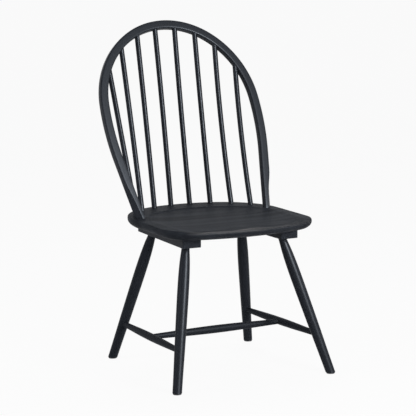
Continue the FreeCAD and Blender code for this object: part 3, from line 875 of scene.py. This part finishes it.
def lip_wear_and_highlight_share(tree):
    """How much of the lip's light tone, worn paint and painted highlight, is at a place on the
    seat, as one socket.
    """
    place = tree.nodes.new("ShaderNodeTexCoord")
    apart = tree.nodes.new("ShaderNodeSeparateXYZ")
    tree.links.new(place.outputs["Object"], apart.inputs[0])
    x, y, z = apart.outputs
    behind = calculate(tree, "SUBTRACT", y, LIP_CENTRE)
    square = calculate(tree, "ADD", calculate(tree, "MULTIPLY", x, x),
                       calculate(tree, "MULTIPLY", behind, behind))
    off_arc = calculate(tree, "SUBTRACT", calculate(tree, "SQRT", square), LIP_RADIUS)
    share = remap(tree, calculate(tree, "ABSOLUTE", off_arc), *WEAR_AND_HIGHLIGHT_ACROSS)
    patches = noise(tree, seat_grain(tree), *WEAR_AND_HIGHLIGHT_PATTERN)
    for value, limits in ((x, WEAR_AND_HIGHLIGHT_LEFT), (x, WEAR_AND_HIGHLIGHT_RIGHT), (z, WEAR_AND_HIGHLIGHT_ABOVE),
                          (patches, WEAR_AND_HIGHLIGHT_PATCHES)):
        share = calculate(tree, "MULTIPLY", share, remap(tree, value, *limits))
    return share


def paint_lip_wear_and_highlight(paint):
    """Puts the lip's light colour, worn paint and painted highlight, over the paint's own where
    the share says so.
    """
    tree = paint.node_tree
    shader = tree.nodes["Principled BSDF"]
    blend = tree.nodes.new("ShaderNodeMix")
    blend.data_type = "RGBA"
    own, worn_and_highlighted = [slot for slot in blend.inputs if slot.type == "RGBA"]
    tree.links.new(shader.inputs["Base Color"].links[0].from_socket, own)
    worn_and_highlighted.default_value = (*LIP_WEAR_AND_HIGHLIGHT, 1.0)
    tree.links.new(lip_wear_and_highlight_share(tree), blend.inputs[0])
    result = [slot for slot in blend.outputs if slot.type == "RGBA"][0]
    tree.links.new(result, shader.inputs["Base Color"])


# The lip's light band is worn paint and a painted highlight together.
paint_lip_wear_and_highlight(seat_paint)
wear(seat_board, seat_paint)
print("the lip is rubbed along an arc of", round(LIP_RADIUS * 1000.0, 1), "mm")


# %% [markdown]
# The bow's paint is the same satin with a stronger sheen, as the photograph shows it. It reads the
# grain that was marked on the mesh. That mark already runs along the stick, so it isn't turned
# and only drawn out.

# %% Paint the bow
BOW_SATIN = (0.4, 0.075)


def bow_grain(tree):
    mark = tree.nodes.new("ShaderNodeAttribute")
    mark.attribute_name = "grain"
    lay = tree.nodes.new("ShaderNodeMapping")
    lay.inputs["Scale"].default_value = (1.0, 1.0, 1.0 / GRAIN_STRETCH)
    tree.links.new(mark.outputs["Vector"], lay.inputs["Vector"])
    return lay.outputs[0]


wear(bow, painted_wood("bow paint", bow_grain, DARK_PAINT, LIGHT_PAINT, *BOW_SATIN, FAINT_PORES))


# %% [markdown]
# The fasteners under the seat are zinc-plated steel and brass, and the glides under the legs are
# black nylon. They are small, and seen only from below, so a fine speckle in the colour and in
# the sheen is all that they need: plating is never quite even, and moulded nylon is grainy.

# %% Steel and brass
PLATING = (380.0, 4.0, 0.6)
METAL_SHADE = 0.7
SHEEN_SPREAD = 0.1


def speckled(name, dark, light, pattern):
    """A material whose colour has a fine speckle, and the speckle itself."""
    made = bpy.data.materials.new(name)
    made.use_nodes = True
    tree = made.node_tree
    place = tree.nodes.new("ShaderNodeTexCoord")
    speckle = noise(tree, place.outputs["Object"], *pattern)
    shader = tree.nodes["Principled BSDF"]
    tree.links.new(shade_between(tree, speckle, dark, light), shader.inputs["Base Color"])
    return made, speckle


def plain_metal(name, colour, roughness):
    metal, blotch = speckled(name, [c * METAL_SHADE for c in colour], colour, PLATING)
    tree = metal.node_tree
    shader = tree.nodes["Principled BSDF"]
    shader.inputs["Metallic"].default_value = 1.0
    sheen = remap(tree, blotch, *SHEEN_SPAN, roughness + SHEEN_SPREAD, roughness - SHEEN_SPREAD)
    tree.links.new(sheen, shader.inputs["Roughness"])
    return metal


zinc = plain_metal("zinc plate", (0.52, 0.53, 0.55), 0.38)
brass = plain_metal("brass", (0.72, 0.52, 0.22), 0.35)
for name in ("batten_bolts", "bolt_washers", "hoop_screws"):
    wear(nodes[name], zinc)
wear(nodes["threaded_inserts"], brass)
print("the fasteners are plated")


# %% Nylon
NYLON_DARK = (0.016, 0.016, 0.017)
NYLON_LIGHT = (0.034, 0.034, 0.036)
NYLON_GRIT = (1500.0, 2.0, 0.5)
NYLON_ROUGHNESS = 0.6

nylon, grit = speckled("black nylon", NYLON_DARK, NYLON_LIGHT, NYLON_GRIT)
nylon.node_tree.nodes["Principled BSDF"].inputs["Roughness"].default_value = NYLON_ROUGHNESS
wear(nodes["foot_glides"], nylon)
print("the glides are nylon")
